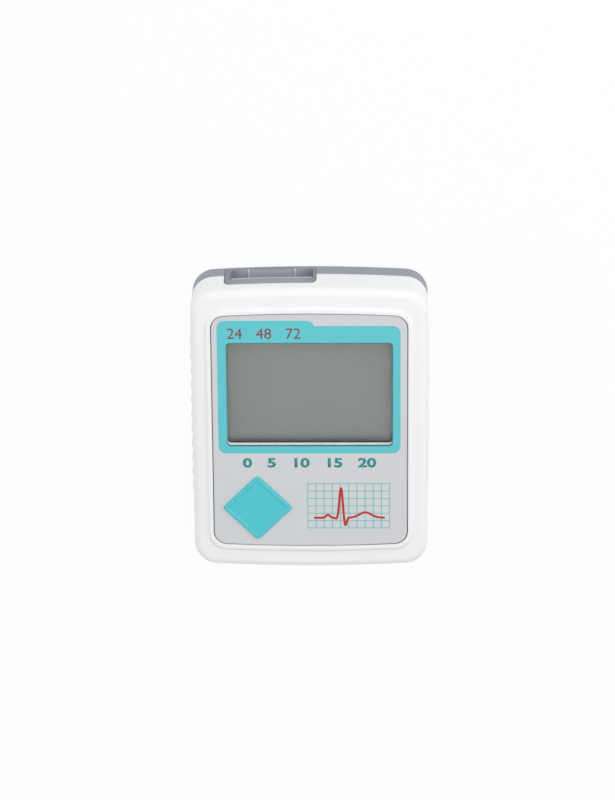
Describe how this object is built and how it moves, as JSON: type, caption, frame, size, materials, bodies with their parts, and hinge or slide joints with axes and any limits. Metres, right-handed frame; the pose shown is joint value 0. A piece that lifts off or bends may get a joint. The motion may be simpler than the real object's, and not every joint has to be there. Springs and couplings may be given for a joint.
{
  "type": "holter monitor",
  "caption": "Pocket ECG recorder: white and grey case, sunk overlay with display window, diamond event key, patient cable socket and sliding battery door.",
  "frame": {"origin": "middle of the bounding box on the plane that the flat back rests on", "axes": "+Z out of the face, +Y towards the end with the patient cable socket, +X to the right as the face is read"},
  "size_m": [0.0704, 0.089, 0.0217],
  "materials": {
    "white_plastic": "fine satin moulded ABS",
    "grey_plastic": "fine satin moulded ABS",
    "overlay": "screen-printed polyester overlay with a fine satin texture",
    "clear_lens": "clear polished acrylic",
    "display_glass": "reflective liquid crystal cell with nothing shown",
    "teal_plastic": "satin teal",
    "black_plastic": "matt black",
    "circuit_board": "green solder mask on glass laminate",
    "rubber_grey": "soft silicone",
    "steel": "nickel plated",
    "gold_contact": "gold plated",
    "battery_wrap": "printed foil wrap, plain"
  },
  "bodies": {
    "case": {"amplifier_board": "circuit_board", "amplifier_chip_1": "black_plastic", "amplifier_chip_2": "black_plastic", "amplifier_chip_3": "black_plastic", "amplifier_screw_1": "steel", "amplifier_screw_2": "steel", "amplifier_screw_3": "steel", "amplifier_screw_4": "steel", "backup_cell": "steel", "battery_lower": "battery_wrap", "battery_upper": "battery_wrap", "board_header": "black_plastic", "board_screw_1": "steel", "board_screw_2": "steel", "board_screw_3": "steel", "board_screw_4": "steel", "buzzer": "black_plastic", "capacitor_1": "steel", "capacitor_2": "steel", "case_screw_1": "steel", "case_screw_2": "steel", "case_screw_3": "steel", "case_screw_4": "steel", "cell_clip": "steel", "connector_housing": "grey_plastic", "contact_strip_lower": "rubber_grey", "contact_strip_upper": "rubber_grey", "converter_chip": "black_plastic", "crystal": "steel", "display_lens": "clear_lens", "front_label": "overlay", "front_shell": "white_plastic", "header_plug": "black_plastic", "inductor": "black_plastic", "lcd_cell": "display_glass", "lcd_frame": "black_plastic", "main_board": "circuit_board", "memory_chip": "black_plastic", "microcontroller": "black_plastic", "negative_contact": "steel", "positive_contact": "steel", "rear_shell": "grey_plastic", "series_contact": "steel", "shield_can": "steel", "snap_dome": "steel", "socket_contact_1": "gold_contact", "socket_contact_2": "gold_contact", "socket_contact_3": "gold_contact", "socket_contact_4": "gold_contact", "socket_contact_5": "gold_contact", "socket_contact_6": "gold_contact", "socket_contact_7": "gold_contact", "socket_contact_8": "gold_contact", "socket_insulator": "black_plastic", "switch_base": "black_plastic"},
    "event_key": {"event_button": "teal_plastic", "switch_plunger": "black_plastic"},
    "door": {"battery_door": "grey_plastic"}
  },
  "joints": [
    {"name": "event_press", "type": "slide", "parent": "case", "child": "event_key", "axis": [0, 0, -1], "range_m": [0, 0.0005], "stiffness_N_per_m": 1500, "springref_m": -0.0003, "deforming": ["snap_dome"]},
    {"name": "door_slide", "type": "slide", "parent": "case", "child": "door", "axis": [0, -1, 0], "range_m": [0, 0.032]}
  ]
}
